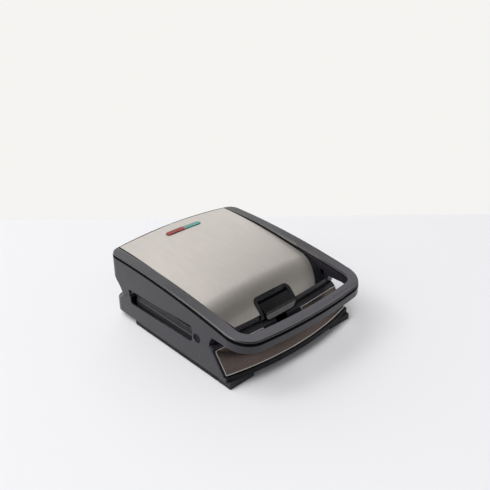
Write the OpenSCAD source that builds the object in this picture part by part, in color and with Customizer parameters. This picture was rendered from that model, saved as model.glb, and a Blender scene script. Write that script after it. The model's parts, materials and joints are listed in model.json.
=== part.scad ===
// Sandwich toaster for two slices side by side, with a hinged lid and a handle that loops round the front.
// Millimetres. +X is the user's right seen from the front, +Y is the rear, +Z is up.
// The origin is the middle of the footprint, on the surface that the feet stand on.

/* [Body] */
// Width over the side panels
body_w = 245; // [240:1:256]
// Depth from the rear wall to the front of the handle
body_d = 300; // [294:1:312]
// Wall thickness of the plastic shells
wall = 2.5; // [2:0.1:3]
// Radius of the rear corners, seen from above
rear_corner_r = 19; // [16:1:24]
// Sideways bow of the rear wall, as a radius seen from above
rear_bow_r = 1800; // [1200:50:2600]
// Running gap between the lid and the base along their parting line
part_gap = 0.6; // [0.5:0.1:1]

/* [Lid] */
// Height of the side arms at their highest point
arm_top_z = 103; // [100:1:108]
// Distance of that highest point from the rear wall
arm_apex_back = 30; // [20:1:40]
// Radius of the long arch of the side arms, seen from the side
arm_arch_r = 1400; // [1300:20:1600]
// Width of each side arm
arm_w = 16.5; // [15:0.5:18]
// Distance from the rear wall to the front rim of the lid
lid_len = 235.3; // [233:0.5:238]
// Rise of the cover at its middle above its long edges
cover_crown = 5; // [4:0.5:6]
// Fall of the cover from its highest point to where its nose starts
cover_fall = 17.4; // [16:0.2:19]
// Length of the cover's nose, from where it starts to the front rim
cover_nose_len = 50.3; // [46:0.1:54]
// Length of the front part of the cover where its sides curve in
cover_taper_len = 65.3; // [60:0.1:70]
// Radius of that curve, seen from above
cover_taper_r = 90; // [84:1:96]
// Radius of the cover's curve down to its front edge
cover_nose_r = 84; // [80:1:88]
// Height of the steel cover's front edge
cover_front_z = 60.5; // [59:0.5:62]
// Thickness of the sheet steel
steel_t = 0.8; // [0.6:0.1:1]

/* [Handle] */
// Outer radius of the handle's front corners, seen from above
handle_corner_r = 35; // [32:1:38]
// Bow of the handle's front bar, as a radius seen from above
handle_bow_r = 850; // [750:25:1000]
// Depth of the front bar, from front to back
bar_w = 15.3; // [14:0.1:17]
// Height of the underside of the front bar
bar_bottom_z = 61; // [59:0.5:63]
// Thickness of the trim's visible band
trim_t = 2; // [1.6:0.1:2.4]
// Height of the shadow groove below the trim
groove_h = 2.2; // [1.6:0.1:2.6]
// Depth of the shadow groove
groove_d = 1.8; // [1.2:0.1:2]

/* [Latch] */
// Width of the latch lever
latch_w = 56.6; // [52:0.2:57]
// Radius between the lever's top and its front face
latch_nose_r = 5.2; // [4:0.1:6]
// Width of the black surround of the latch
bezel_w = 70; // [66:1:74]
// Width of the surround's own band
bezel_band = 5.5; // [5:0.1:6.5]

/* [Lamps] */
// Length of the pair of lenses
lens_len = 66.4; // [56:0.5:74]
// Width of each lens
lens_w = 8.8; // [7:0.2:11]
// Height of the lenses above the cover
lens_proud = 1.2; // [0.8:0.1:1.8]
// Distance from the rear wall to the middle of the lenses
lens_back = 29; // [26:1:34]

/* [Base] */
// Height of the base's lower edge above the surface that it stands on
base_bottom_z = 9.5; // [8:0.5:11]
// Height of the parting line at the sides
part_z = 50; // [49:0.5:51]
// Distance from the rear wall of the lid to the rear wall of the base
base_setback = 4.8; // [4:0.2:8]
// Distance from the lid's front rim forward to the front of the base's lower lip
lip_reach = 42.1; // [40:0.1:44]
// Thickness of the lower lip
lip_t = 6; // [5:0.5:7]

/* [Plates] */
// Distance from the outside of a side panel to the cooking plates
plate_side = 9; // [8.5:0.1:12]
// Distance from the front rim of the lid back to the cooking plates
plate_front = 22.3; // [21.5:0.1:26]
// Distance from the rear wall of the lid to the rear edge of the plates
plate_back = 55; // [52:1:58]
// Depth of the pockets in the plates
pocket_depth = 12; // [10:0.5:13]
// Thickness of metal under the pockets
plate_floor = 2.5; // [2:0.1:3]
// Width of the flat rim round the pockets
plate_rim = 7; // [6:0.5:9]
// Width of the seam between the two halves of a slice
plate_seam = 5; // [4:0.5:8]
// Diameter of the tubular heating elements
element_d = 6.6; // [6:0.1:7]

/* [Hinge] */
// Distance from the rear wall of the lid to the hinge axis
hinge_back = 22; // [21:0.5:24]
// Height of the hinge axis
hinge_z = 30; // [29:0.5:31]
// Diameter of the hinge pins
hinge_pin_d = 8; // [6:0.5:9]
// Distance of each hinge from the middle
hinge_x = 70; // [60:1:78]
// Width of each hinge arm on the lid
hinge_arm_w = 14; // [12:1:16]
// Radial running clearance of the pins in their bores
pin_clear = 0.05; // [0.03:0.01:0.08]

/* [Buttons] */
// Radius of the round opening for the release buttons
button_hole_r = 7; // [6.5:0.1:7.5]
// Distance from the front rim of the lid back to the buttons
button_inset = 30.3; // [29:0.1:32]
// Travel of a release button
button_travel = 3; // [2:0.5:3.5]

/* [Feet] */
// Width of each front foot
front_foot_w = 43; // [36:1:48]
// Diameter of the rear feet
rear_foot_d = 18; // [14:1:22]

/* [Hidden] */

// General clearance between fixed pieces, and the overshoot of a cut
clear = 0.3;
cut = 1;
big = 400;
arc_fn = 360;
round_fn = 48;

// Main places that follow from the driving sizes
half_w = body_w / 2;
rear_y = body_d / 2;
bar_y = -body_d / 2;
inner_x = half_w - arm_w;
lid_front_y = rear_y - lid_len;
base_rear_y = rear_y - base_setback;
lip_y = lid_front_y - lip_reach;
hinge_y = rear_y - hinge_back;
rear_rim = 2.1;
base_rear_lean = 2.6;

// Cover surface: a long arch, then a tighter nose arc, revolved about a far axis along Y for the crown
cover_apex_y = rear_y - 4;
cover_edge_z = arm_top_z + 0.1;
cover_nose_start_y = lid_front_y + cover_nose_len;
cover_half = inner_x - 1;
cover_arch_len = cover_apex_y - cover_nose_start_y;
cover_arch_r = (pow(cover_arch_len, 2) + pow(cover_fall, 2)) / (2 * cover_fall);
cover_crown_r = (pow(cover_half, 2) + pow(cover_crown, 2)) / (2 * cover_crown);
cover_axis_z = cover_edge_z + cover_crown - cover_crown_r;
cover_arch_z = cover_edge_z + cover_crown - cover_arch_r;
nose_angle = asin(cover_arch_len / cover_arch_r);
nose_y = cover_nose_start_y + cover_nose_r * sin(nose_angle);
nose_z = cover_arch_z + (cover_arch_r - cover_nose_r) * cos(nose_angle);

// The plane where the two cooking plates meet, and the gap that keeps them apart
split_z = part_z - 2.5;
plate_gap = 0.6;
plate_w = body_w - 2 * plate_side;
plate_y1 = rear_y - plate_back;
plate_y0 = lid_front_y + plate_front;
plate_d = plate_y1 - plate_y0;
plate_t = pocket_depth + plate_floor;
flange_t = 3;
flange_over = 3;
pan_wall = 1;
pan_x = plate_w / 2 - 1;
pan_depth = plate_t + element_d + 2.3;
pan_floor_z = split_z - plate_gap / 2 - pan_depth;
element_z = split_z - plate_gap / 2 - plate_t - clear - element_d / 2;

// The side window between lid and base
window_y0 = plate_y0 + 17.7;
window_y1 = plate_y1 + 4.5;
window_top_z = part_z + 7.5;
window_base_z = part_z - 15.4;

// The notch behind the hinge line, where the lid and the base fold apart, and the flat parting line before it
notch_y = rear_y - 35;
notch_z = part_z - 7;
flat_y = notch_y - 30;
lid_cavity_z = part_z + 22;
lid_shell_front_y = lid_front_y + 6.3;

// Lower rear of the lid, as steps forward and down from where its rear wall starts to curve in
rear_turn_z = part_z + 32;
rear_curve = [
    [1.2, 5], [4.5, 9.5], [10, 13.5], [15, 17], [19.5, 20.5], [24, 24.5], [27.6, 28.5], [30.6, 32.5]
];

// Half width of the raised part of the base's rear ledge, between its lower shoulders
ledge_half = 92;

// Latch pocket, pivot and hook
pocket_half = bezel_w / 2 - bezel_band;
pocket_back_y = lid_front_y + 14.6;
latch_y = lid_front_y + 7.3;
latch_z = part_z + 8.5;
latch_pin_r = 1.5;
spring_slot_x = latch_w / 2 - 8;
spring_slot_w = 5;
hook_w = 13;
catch_y = lid_front_y + 1.8;
catch_z = part_z - 5;

// Buttons: the opening runs from the rim beside the plate to the outside
button_y = lid_front_y + button_inset;
button_inner_x = plate_w / 2 + 1.4;

// Screws and their posts
screw_x = half_w - 9.5;
base_screw_ys = [plate_y0 - 9, plate_y1 + 10];
lid_screw_ys = [plate_y0 + 18, plate_y1 - 20];
lid_screw_x = plate_w / 2 - 17;
screw_r = 1.5;
screw_hole_r = screw_r + 0.1;
head_r = 3.5;
post_r = 4.5;

// Slab that closes the base, the cord gland above it, and steel cheeks beside each hinge arm
slab_t = 2.5;
slab_z = base_bottom_z;
slab_top_z = slab_z + slab_t;
gland_z = slab_z + 10.9;
gland_r = 6.5;
cheek_t = 3;
cheek_gap = 1;

// Lamps
lens_y = rear_y - lens_back;
lens_z = cover_edge_z + cover_crown;
board_z = lens_z - 11;
board_t = 1.6;

// Colours
plastic_grey = [0.30, 0.30, 0.32];
plastic_black = [0.12, 0.12, 0.13];
steel = [0.74, 0.72, 0.70];
bare_metal = [0.62, 0.62, 0.64];
rubber_black = [0.08, 0.08, 0.08];
non_stick = [0.16, 0.15, 0.15];
ceramic_white = [0.85, 0.84, 0.80];

// ---------------------------------------------------------------- outlines seen from above

// One end of a rounded outline, from y = 0 to y = reach: the end is bowed and its corners are tangent
module outline_end(half, reach, corner, bow) {
    corner_x = half - corner;
    drop = sqrt(pow(bow - corner, 2) - pow(corner_x, 2));
    corner_y = reach - bow + drop;
    flare = 1.2;
    translate([-half, 0])
        square([2 * half, corner_y]);
    for (side = [-1, 1])
        translate([side * corner_x, corner_y])
            circle(corner, $fn = round_fn);
    intersection() {
        translate([0, reach - bow])
            circle(bow, $fn = arc_fn);
        polygon([
            [-corner_x, corner_y],
            [corner_x, corner_y],
            [corner_x * flare, corner_y + drop * (flare - 1)],
            [-corner_x * flare, corner_y + drop * (flare - 1)]
        ]);
    }
}

// Whole outline of the lid and its handle loop, set in by inset all round
module lid_outline(inset = 0) {
    outline_end(half_w - inset, rear_y - inset, rear_corner_r - inset, rear_bow_r - inset);
    mirror([0, 1])
        outline_end(half_w - inset, -bar_y - inset, handle_corner_r - inset, handle_bow_r - inset);
}

// Inner edge of the arms, of the handle loop and of the rear rim, grown by grow all round
module loop_outline(grow = 0) {
    loop_corner_r = handle_corner_r - arm_w;
    sharp_r = 2;
    outline_end(inner_x + grow, rear_y - rear_rim + grow, max(sharp_r + grow, 0.5), rear_bow_r + grow);
    mirror([0, 1])
        outline_end(inner_x + grow, -bar_y - bar_w + grow, loop_corner_r + grow, handle_bow_r - bar_w + grow);
}

// Inside of the lid, from the rear rim to the bowed front rim
module lid_inside_outline(inset) {
    front_bow_r = 1280;
    intersection() {
        translate([-inner_x + inset, lid_front_y - cut])
            square([2 * (inner_x - inset), rear_y - lid_front_y - rear_rim - inset + cut]);
        loop_outline(-inset);
        translate([0, lid_front_y + inset + front_bow_r - inset])
            circle(front_bow_r - inset, $fn = 4 * arc_fn);
    }
}

// Outline of the steel cover: straight sides that curve in towards the front
module steel_outline(grow = 0) {
    curve_y = lid_front_y + cover_taper_len;
    straight_x = inner_x - 1 + grow;
    taper_x = straight_x - cover_taper_r;
    intersection() {
        union() {
            translate([-straight_x, curve_y])
                square([2 * straight_x, rear_y - curve_y]);
            for (side = [-1, 1])
                translate([side * taper_x, curve_y])
                    circle(cover_taper_r, $fn = 2 * arc_fn);
            translate([-taper_x, lid_front_y])
                square([2 * taper_x, cover_taper_len]);
        }
        lid_inside_outline(clear - grow);
    }
}

// ---------------------------------------------------------------- profiles seen from the side

// Draws a (y, z) outline across the whole width, or w wide about x
module across(w = big, x = 0) {
    translate([x, 0, 0])
        rotate([90, 0, 90])
            linear_extrude(w, center = true)
                children();
}

// Height of the arch of the arms at y, for an arch lowered by drop
function arch_height(y, drop) =
    arm_top_z - arm_arch_r + sqrt(pow(arm_arch_r - drop, 2) - pow(y - rear_y + arm_apex_back, 2));

// Everything below the arch of the arms, lowered by drop
module arm_arch(drop = 0) {
    steps = 24;
    from_y = bar_y - cut;
    step_y = (body_d + 2 * cut) / steps;
    across()
        polygon(concat(
            [[rear_y + cut, 0], [from_y, 0]],
            [for (i = [0:steps]) [from_y + i * step_y, arch_height(from_y + i * step_y, drop)]]
        ));
}

// Everything below the crowned cover surface, lowered by drop
module under_cover(drop = 0) {
    sweep = 14;
    floor_r = 40 - cover_axis_z;
    front_y = lid_front_y - 6;
    translate([0, 0, cover_axis_z])
        rotate([-90, 0, 0])
            rotate([0, 0, -90 - sweep / 2])
                rotate_extrude(angle = sweep, $fn = 2 * arc_fn)
                    difference() {
                        union() {
                            intersection() {
                                translate([cover_arch_z - cover_axis_z, cover_apex_y])
                                    circle(cover_arch_r - drop, $fn = 2 * arc_fn);
                                translate([floor_r, cover_nose_start_y])
                                    square([big, rear_y - cover_nose_start_y + cut]);
                            }
                            intersection() {
                                translate([nose_z - cover_axis_z, nose_y])
                                    circle(cover_nose_r - drop, $fn = arc_fn);
                                translate([floor_r, front_y])
                                    square([big, cover_nose_start_y - front_y]);
                            }
                        }
                        translate([0, front_y - cut])
                            square([floor_r, big]);
                    }
}

// ---------------------------------------------------------------- helpers

// Mirrors the lower plate's fittings up into the lid
module in_lid() {
    translate([0, 0, 2 * split_z])
        mirror([0, 0, 1])
            children();
}

// Places one copy on each side of the middle
module both_sides() {
    for (side = [0, 1])
        mirror([side, 0, 0])
            children();
}

module disc_x(radius, length, x, y, z) {
    translate([x, y, z])
        rotate([0, 90, 0])
            cylinder(r = radius, h = length, center = true, $fn = round_fn);
}

// ---------------------------------------------------------------- base

// One bowed end of the base's front, as a thin slice at height z
module front_slice(z, reach, bow, inset, thick = 0.01) {
    front_corner_r = 6;
    translate([0, 0, z])
        mirror([0, 1, 0])
            linear_extrude(thick)
                outline_end(half_w - inset, reach - inset, front_corner_r - inset, bow);
}

// The front of the base: a short strip under the lid, then the long lean down to the lip
module base_front(inset = 0) {
    top_z = part_z - part_gap / 2 - inset;
    strip_reach = -lid_front_y - 0.8;
    plate_reach = -lid_front_y + 7.1;
    foot_reach = -lip_y - 3.5;
    strip_z = part_z - 4 - inset;
    foot_z = base_bottom_z + 7;
    hull() {
        front_slice(top_z, strip_reach, 2000, inset);
        front_slice(strip_z, plate_reach, 1275, inset);
    }
    hull() {
        front_slice(strip_z, plate_reach, 1275, inset);
        front_slice(foot_z, foot_reach, 464, inset);
    }
}

// Lower lip that runs round the front
module base_lip(inset = 0) {
    lip_bow = 500;
    lip_corner = 4;
    translate([0, 0, base_bottom_z - (inset > 0 ? cut : 0)])
        mirror([0, 1, 0])
            linear_extrude(inset > 0 ? lip_t + cut : lip_t)
                outline_end(half_w - inset, -lip_y - inset, lip_corner - inset / 2, lip_bow);
    front_foot_y = -lip_y - 3.5 - inset;
    translate([0, 0, base_bottom_z + lip_t - cut])
        mirror([0, 1, 0])
            linear_extrude(cut + 1.1)
                outline_end(half_w - inset, front_foot_y, 6 - inset, 464);
}

// Side view of the base behind its front; ledge lists the points of its rear ledge, from the rear forward
module base_profile(inset, ledge) {
    floor_z = inset > 0 ? base_bottom_z - cut : base_bottom_z;
    across()
        polygon(concat(
            [[0, floor_z], [base_rear_y - base_rear_lean - inset, floor_z]],
            [for (p = ledge) [base_rear_y - p[0] - inset, notch_z - p[1] - inset]],
            [
                [notch_y - inset / 2, notch_z - part_gap - inset],
                [flat_y, part_z - part_gap / 2 - inset],
                [0, part_z - part_gap / 2 - inset]
            ]
        ));
}

// The rear ledge: raised between the shoulders, where it covers the hinges
module base_rear(inset) {
    intersection() {
        base_profile(inset, [[0, 14.3]]);
        translate([-ledge_half + inset, 0, 0])
            cube([2 * (ledge_half - inset), big, big]);
    }
    base_profile(inset, [[0, 15.5], [14.5, 14.2], [23, 9.5], [26.8, 6]]);
}

module base_block(inset = 0) {
    intersection() {
        base_rear(inset);
        linear_extrude(big)
            outline_end(half_w - inset, base_rear_y - inset, rear_corner_r - inset, rear_bow_r);
    }
    base_front(inset);
    base_lip(inset);
    // the block's forward half, up to the start of the front corners
    intersection() {
        translate([-half_w + inset, lid_front_y + 8, inset > 0 ? base_bottom_z - cut : base_bottom_z])
            cube([2 * (half_w - inset), cut - lid_front_y - 8, big]);
        translate([-big, -big, 0])
            cube([2 * big, 2 * big, part_z - part_gap / 2 - inset]);
    }
}

// The window through both side walls, drawn across the part
module window_cut() {
    both_sides()
        across(2 * arm_w + 6, half_w)
            polygon([
                [window_y0, window_base_z + 9.5],
                [window_y0 + 1.8, window_base_z + 5.6],
                [window_y0 + 5.5, window_base_z + 3.7],
                [window_y1 - 7, window_base_z - 0.3],
                [window_y1 - 4, window_base_z + 1],
                [window_y1, window_top_z - 2],
                [window_y1 - 1, window_top_z],
                [window_y0 + 4.5, window_top_z + 6.2],
                [window_y0 + 1.2, window_top_z + 4.8],
                [window_y0, window_top_z + 2]
            ]);
}

// Round opening for the release buttons, through the side walls and the rim beside the plate
module button_hole() {
    outer_end_x = half_w + cut;
    mid_x = (outer_end_x + button_inner_x) / 2;
    both_sides()
        disc_x(button_hole_r, outer_end_x - button_inner_x, mid_x, button_y, part_z);
}

module hinge_slots() {
    slot_w = hinge_arm_w + 2 * cheek_gap + 2 * cheek_t + cheek_gap;
    slot_floor_z = 15;
    both_sides()
        translate([hinge_x - slot_w / 2, notch_y - 3, slot_floor_z])
            cube([slot_w, rear_y - notch_y, part_z]);
}

module base_posts(r, z0, z1) {
    both_sides()
        for (y = base_screw_ys)
            translate([screw_x, y, z0])
                cylinder(r = r, h = z1 - z0, $fn = round_fn);
}

module base_shell() {
    well_gap = 1.5;
    recess_half = hook_w / 2 + 5;
    color(plastic_grey)
        difference() {
            union() {
                difference() {
                    base_block();
                    base_block(wall);
                    translate([-plate_w / 2 - well_gap, plate_y0 - well_gap, split_z - 12])
                        cube([plate_w + 2 * well_gap, plate_d + 2 * well_gap, big]);
                }
                intersection() {
                    base_block(wall / 2);
                    base_posts(post_r, slab_top_z, part_z);
                }
            }
            window_cut();
            button_hole();
            hinge_slots();
            base_posts(screw_r, slab_top_z - cut, slab_top_z + 12);
            // recess for the latch hook
            translate([-recess_half, lid_front_y - 10, part_z - 9])
                cube([2 * recess_half, 13, 10]);
            // opening for the cord gland
            translate([0, base_rear_y, gland_z])
                rotate([90, 0, 0])
                    cylinder(r = gland_r, h = 40, center = true, $fn = round_fn);
        }
}

// Steel plate on the leaning front, with a cut-out below the latch
module front_plate() {
    plate_top_z = part_z - 4.4;
    plate_bottom_z = base_bottom_z + 7.4;
    side_gap = 3.2;
    notch_half = bezel_w / 2 + 2.3;
    notch_depth = 12;
    color(steel)
        difference() {
            intersection() {
                translate([0, -steel_t, 0])
                    base_front();
                translate([-half_w + side_gap, lip_y - cut, plate_bottom_z])
                    cube([body_w - 2 * side_gap, lid_front_y - lip_y - 2, plate_top_z - plate_bottom_z]);
            }
            base_front();
            translate([-notch_half, lip_y, plate_top_z - notch_depth])
                cube([2 * notch_half, big, notch_depth + cut]);
        }
}

module front_foot_block(grow = 0) {
    foot_d = 24;
    foot_x = half_w - 1.5;
    foot_front_y = lip_y + 9.8;
    both_sides()
        translate([foot_x - front_foot_w - grow, foot_front_y - grow, 0])
            cube([front_foot_w + 2 * grow, foot_d + 2 * grow, base_bottom_z]);
}

// Closing plate under the base, with a skirt round its front and middle
module bottom_cover() {
    skirt_in = 1.5;
    skirt_t = 3;
    skirt_z = 1.5;
    skirt_y0 = lip_y + 19;
    skirt_y1 = plate_y1 - 6;
    slab_inset = wall + clear;
    slab_rear_y = base_rear_y - base_rear_lean - slab_inset;
    skirt_half = half_w - skirt_in;
    color(plastic_black)
        difference() {
            union() {
                translate([0, 0, slab_z])
                    linear_extrude(slab_t) {
                        outline_end(half_w - slab_inset, slab_rear_y, rear_corner_r, rear_bow_r);
                        mirror([0, 1])
                            outline_end(half_w - slab_inset, -lip_y - slab_inset, 4, 500);
                    }
                difference() {
                    translate([-skirt_half, skirt_y0, skirt_z])
                        cube([2 * skirt_half, skirt_y1 - skirt_y0, slab_z - skirt_z]);
                    translate([-skirt_half + skirt_t, skirt_y0 + skirt_t, 0])
                        cube([2 * (skirt_half - skirt_t), skirt_y1 - skirt_y0 - 2 * skirt_t, slab_z]);
                }
            }
            front_foot_block(clear);
            base_posts(screw_hole_r, 0, slab_top_z + cut);
        }
}

module front_feet() {
    color(rubber_black)
        front_foot_block();
}

module rear_feet() {
    foot_x = half_w - 28;
    color(rubber_black)
        both_sides()
            translate([foot_x, rear_y - 38, 0])
                cylinder(d = rear_foot_d, h = base_bottom_z, $fn = round_fn);
}

module base_screws() {
    head_t = 2;
    color(bare_metal) {
        base_posts(head_r, slab_z - head_t, slab_z);
        base_posts(screw_r - 0.02, slab_z - head_t, slab_top_z + 10);
    }
}

// ---------------------------------------------------------------- plates, elements and reflectors

// A triangular pocket, wider at its mouth; half of a slice cut corner to corner
module pocket(mouth_z, turned) {
    slice_w = plate_w / 2 - plate_rim - plate_seam / 2;
    slice_d = plate_d - 2 * plate_rim;
    draft = 5;
    hull()
        for (step = [0, 1])
            translate([0, 0, mouth_z - step * pocket_depth])
                linear_extrude(0.01 + (1 - step) * cut)
                    rotate(turned ? 180 : 0)
                        polygon([
                            [-slice_w / 2 + plate_seam + 2.4 * draft * step, -slice_d / 2 + draft * step],
                            [slice_w / 2 - draft * step, -slice_d / 2 + draft * step],
                            [slice_w / 2 - draft * step, slice_d / 2 - plate_seam - 3.4 * draft * step]
                        ]);
}

module cooking_plate() {
    top_z = split_z - plate_gap / 2;
    pocket_x = (plate_w / 2 - plate_rim + plate_seam / 2) / 2;
    plate_mid_y = (plate_y0 + plate_y1) / 2;
    color(non_stick)
        difference() {
            union() {
                translate([-plate_w / 2, plate_y0, top_z - flange_t])
                    cube([plate_w, plate_d, flange_t]);
                translate([-plate_w / 2 + flange_over, plate_y0 + flange_over, top_z - plate_t])
                    cube([plate_w - 2 * flange_over, plate_d - 2 * flange_over, plate_t - flange_t + 0.1]);
            }
            for (side = [-1, 1])
                for (turned = [false, true])
                    translate([side * pocket_x, plate_mid_y, 0])
                        pocket(top_z, turned);
        }
}

module lower_plate() {
    cooking_plate();
}

module upper_plate() {
    in_lid()
        cooking_plate();
}

// A tubular element bent into a U, with bushed ends at the rear; its bends are a trace thicker than its legs
module element() {
    leg_x = plate_w / 2 - 32;
    bend_r = 25;
    bend_lap = 0.8;
    bend_swell = 0.1;
    end_y = plate_y1 - 12;
    front_y = plate_y0 + 26;
    leg_y = front_y + bend_r - bend_lap;
    bush_r = 3.2;
    bush_len = 7;
    color(bare_metal)
        translate([0, 0, element_z]) {
            for (side = [-1, 1]) {
                translate([side * leg_x, leg_y, 0])
                    rotate([-90, 0, 0])
                        cylinder(d = element_d, h = end_y - leg_y, $fn = round_fn);
                translate([side * (leg_x - bend_r), front_y + bend_r, 0])
                    rotate([0, 0, side > 0 ? -90 : 180])
                        rotate_extrude(angle = 90, $fn = round_fn)
                            translate([bend_r, 0])
                                circle(d = element_d + bend_swell, $fn = round_fn);
                translate([side * leg_x, end_y - bend_lap, 0])
                    rotate([-90, 0, 0])
                        cylinder(r = bush_r, h = bush_len + bend_lap, $fn = round_fn);
            }
            translate([0, front_y, 0])
                rotate([0, 90, 0])
                    cylinder(d = element_d, h = 2 * (leg_x - bend_r + bend_lap), center = true, $fn = round_fn);
        }
}

module lower_element() {
    element();
}

module upper_element() {
    in_lid()
        element();
}

// Shallow tray under a plate: its walls carry the plate's rim and its floor reflects the heat
module reflector(holes) {
    wall_top_z = split_z - plate_gap / 2 - flange_t;
    y0 = plate_y0 + 1;
    depth = plate_d - 2;
    color(bare_metal)
        difference() {
            translate([-pan_x, y0, pan_floor_z])
                cube([2 * pan_x, depth, wall_top_z - pan_floor_z]);
            translate([-pan_x + pan_wall, y0 + pan_wall, pan_floor_z + pan_wall])
                cube([2 * (pan_x - pan_wall), depth - 2 * pan_wall, big]);
            if (holes)
                lid_posts(screw_hole_r, 0, pan_floor_z + 2);
        }
}

module lower_reflector() {
    reflector(false);
}

module upper_reflector() {
    in_lid()
        reflector(true);
}

// Leaf clips outside the reflector, whose tabs hold the rim of the plate
module plate_clips() {
    clip_w = 12;
    leaf_t = 0.8;
    leaf_gap = 0.6;
    leaf_x = plate_w / 2 + leaf_gap;
    foot_z = pan_floor_z + 3;
    tab_z = split_z - plate_gap / 2 - flange_t - 2;
    color(steel)
        both_sides()
            translate([0, button_y - clip_w / 2, 0]) {
                translate([pan_x, 0, foot_z])
                    cube([leaf_x - pan_x + leaf_t, clip_w, leaf_t]);
                translate([leaf_x, 0, foot_z])
                    cube([leaf_t, clip_w, split_z - foot_z - 1.5]);
                translate([pan_x + clear, 0, tab_z])
                    cube([leaf_x - pan_x, clip_w, leaf_t]);
            }
}

module lower_plate_clips() {
    plate_clips();
}

module upper_plate_clips() {
    in_lid()
        plate_clips();
}

// Half-round release button for the lower plate, seen through the round opening
module half_button() {
    face_x = half_w - 1;
    back_x = button_inner_x + button_travel + clear;
    intersection() {
        disc_x(button_hole_r - clear, face_x - back_x, (face_x + back_x) / 2, button_y, part_z);
        translate([0, -big, part_z - big - clear])
            cube([big, 2 * big, big]);
    }
}

module lower_right_button() {
    color(plastic_black)
        half_button();
}

module lower_left_button() {
    color(plastic_black)
        mirror([1, 0, 0])
            half_button();
}

module upper_right_button() {
    color(plastic_black)
        translate([0, 0, 2 * part_z])
            mirror([0, 0, 1])
                half_button();
}

module upper_left_button() {
    color(plastic_black)
        translate([0, 0, 2 * part_z])
            mirror([0, 0, 1])
                mirror([1, 0, 0])
                    half_button();
}

// ---------------------------------------------------------------- parts inside the base

module thermostat() {
    body = [30, 22, 8];
    body_y = plate_y1 - 75;
    color(ceramic_white) {
        translate([-body[0] / 2, body_y, slab_top_z])
            cube(body);
        translate([0, body_y + body[1] / 2, slab_top_z + body[2] - 0.1])
            cylinder(r = 6, h = pan_floor_z - slab_top_z - body[2] + 0.1, $fn = round_fn);
    }
}

module thermal_fuse() {
    fuse_r = 2.4;
    color(ceramic_white)
        disc_x(fuse_r, 16, 45, plate_y1 - 65, pan_floor_z - fuse_r - 0.05);
}

module terminal_block() {
    block = [38, 12, 14];
    pole_pitch = 12;
    block_x = 20;
    block_y = plate_y1 + 10;
    color(ceramic_white)
        difference() {
            translate([block_x, block_y, slab_top_z])
                cube(block);
            for (pole = [0:2])
                translate([block_x + 7 + pole * pole_pitch, block_y + block[1] / 2, slab_top_z + 6])
                    cylinder(r = 2.2, h = block[2], $fn = round_fn);
        }
}

// Gland in the rear wall for the supply cord
module cord_inlet() {
    flange_r = gland_r + 1.7;
    cord_r = 3.6;
    inner_y = base_rear_y - 9.9;
    color(rubber_black)
        translate([0, inner_y, gland_z])
            rotate([-90, 0, 0])
                difference() {
                    union() {
                        cylinder(r = gland_r - 0.05, h = 12.5, $fn = round_fn);
                        cylinder(r = flange_r, h = 2, $fn = round_fn);
                        translate([0, 0, 10])
                            cylinder(r = flange_r, h = 2.5, $fn = round_fn);
                    }
                    translate([0, 0, -cut])
                        cylinder(r = cord_r, h = 20, $fn = round_fn);
                }
}

// Steel catch under the front of the deck, for the latch hook
module latch_catch() {
    catch_w = 40;
    catch_d = 14;
    foot_d = 8;
    deck_under_z = part_z - part_gap / 2 - wall;
    color(steel) {
        translate([-catch_w / 2, catch_y, catch_z])
            cube([catch_w, catch_d, 1]);
        translate([-catch_w / 2, catch_y + catch_d - foot_d, catch_z])
            cube([catch_w, foot_d, deck_under_z - catch_z]);
    }
}

// ---------------------------------------------------------------- hinge

module hinge_brackets() {
    cheek_h = hinge_z + hinge_pin_d - slab_top_z - 5;
    cheek_x = hinge_arm_w / 2 + cheek_gap;
    fit_gap = 0.01;
    color(bare_metal)
        for (side = [-1, 1])
            translate([side * hinge_x, 0, 0])
                difference() {
                    for (face = [-1, 1])
                        translate([face * (cheek_x + cheek_t / 2) - cheek_t / 2, hinge_y - 8, slab_top_z])
                            cube([cheek_t, 14, cheek_h]);
                    disc_x(hinge_pin_d / 2 + fit_gap, 4 * hinge_arm_w, 0, hinge_y, hinge_z);
                }
}

module hinge_pins() {
    pin_len = hinge_arm_w + 2 * cheek_gap + 2 * cheek_t;
    color(steel)
        for (side = [-1, 1])
            disc_x(hinge_pin_d / 2, pin_len, side * hinge_x, hinge_y, hinge_z);
}

// Outline of a hinge arm, from the pin up into the lid
module hinge_arm_solid(grow = 0) {
    eye_r = hinge_pin_d / 2 + 4;
    top_z = lens_z - 23.1 + grow;
    for (side = [-1, 1]) {
        disc_x(eye_r + grow, hinge_arm_w + 2 * grow, side * hinge_x, hinge_y, hinge_z);
        across(hinge_arm_w + 2 * grow, side * hinge_x)
            polygon([
                [hinge_y - eye_r - grow, hinge_z],
                [hinge_y + eye_r + grow, hinge_z],
                [hinge_y + eye_r + grow, top_z],
                [hinge_y - 3 - grow, top_z],
                [hinge_y - eye_r - grow, hinge_z + 25]
            ]);
    }
}

module hinge_arms() {
    color(bare_metal)
        difference() {
            hinge_arm_solid();
            both_sides()
                disc_x(hinge_pin_d / 2 + pin_clear, 2 * hinge_arm_w, hinge_x, hinge_y, hinge_z);
        }
}

// ---------------------------------------------------------------- lid

// Points down the lid's curved lower rear, moved in by dy and up by dz
function lid_rear(dy = 0, dz = 0) =
    [for (p = rear_curve) [rear_y - p[0] - dy, rear_turn_z - p[1] + dz]];

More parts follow.
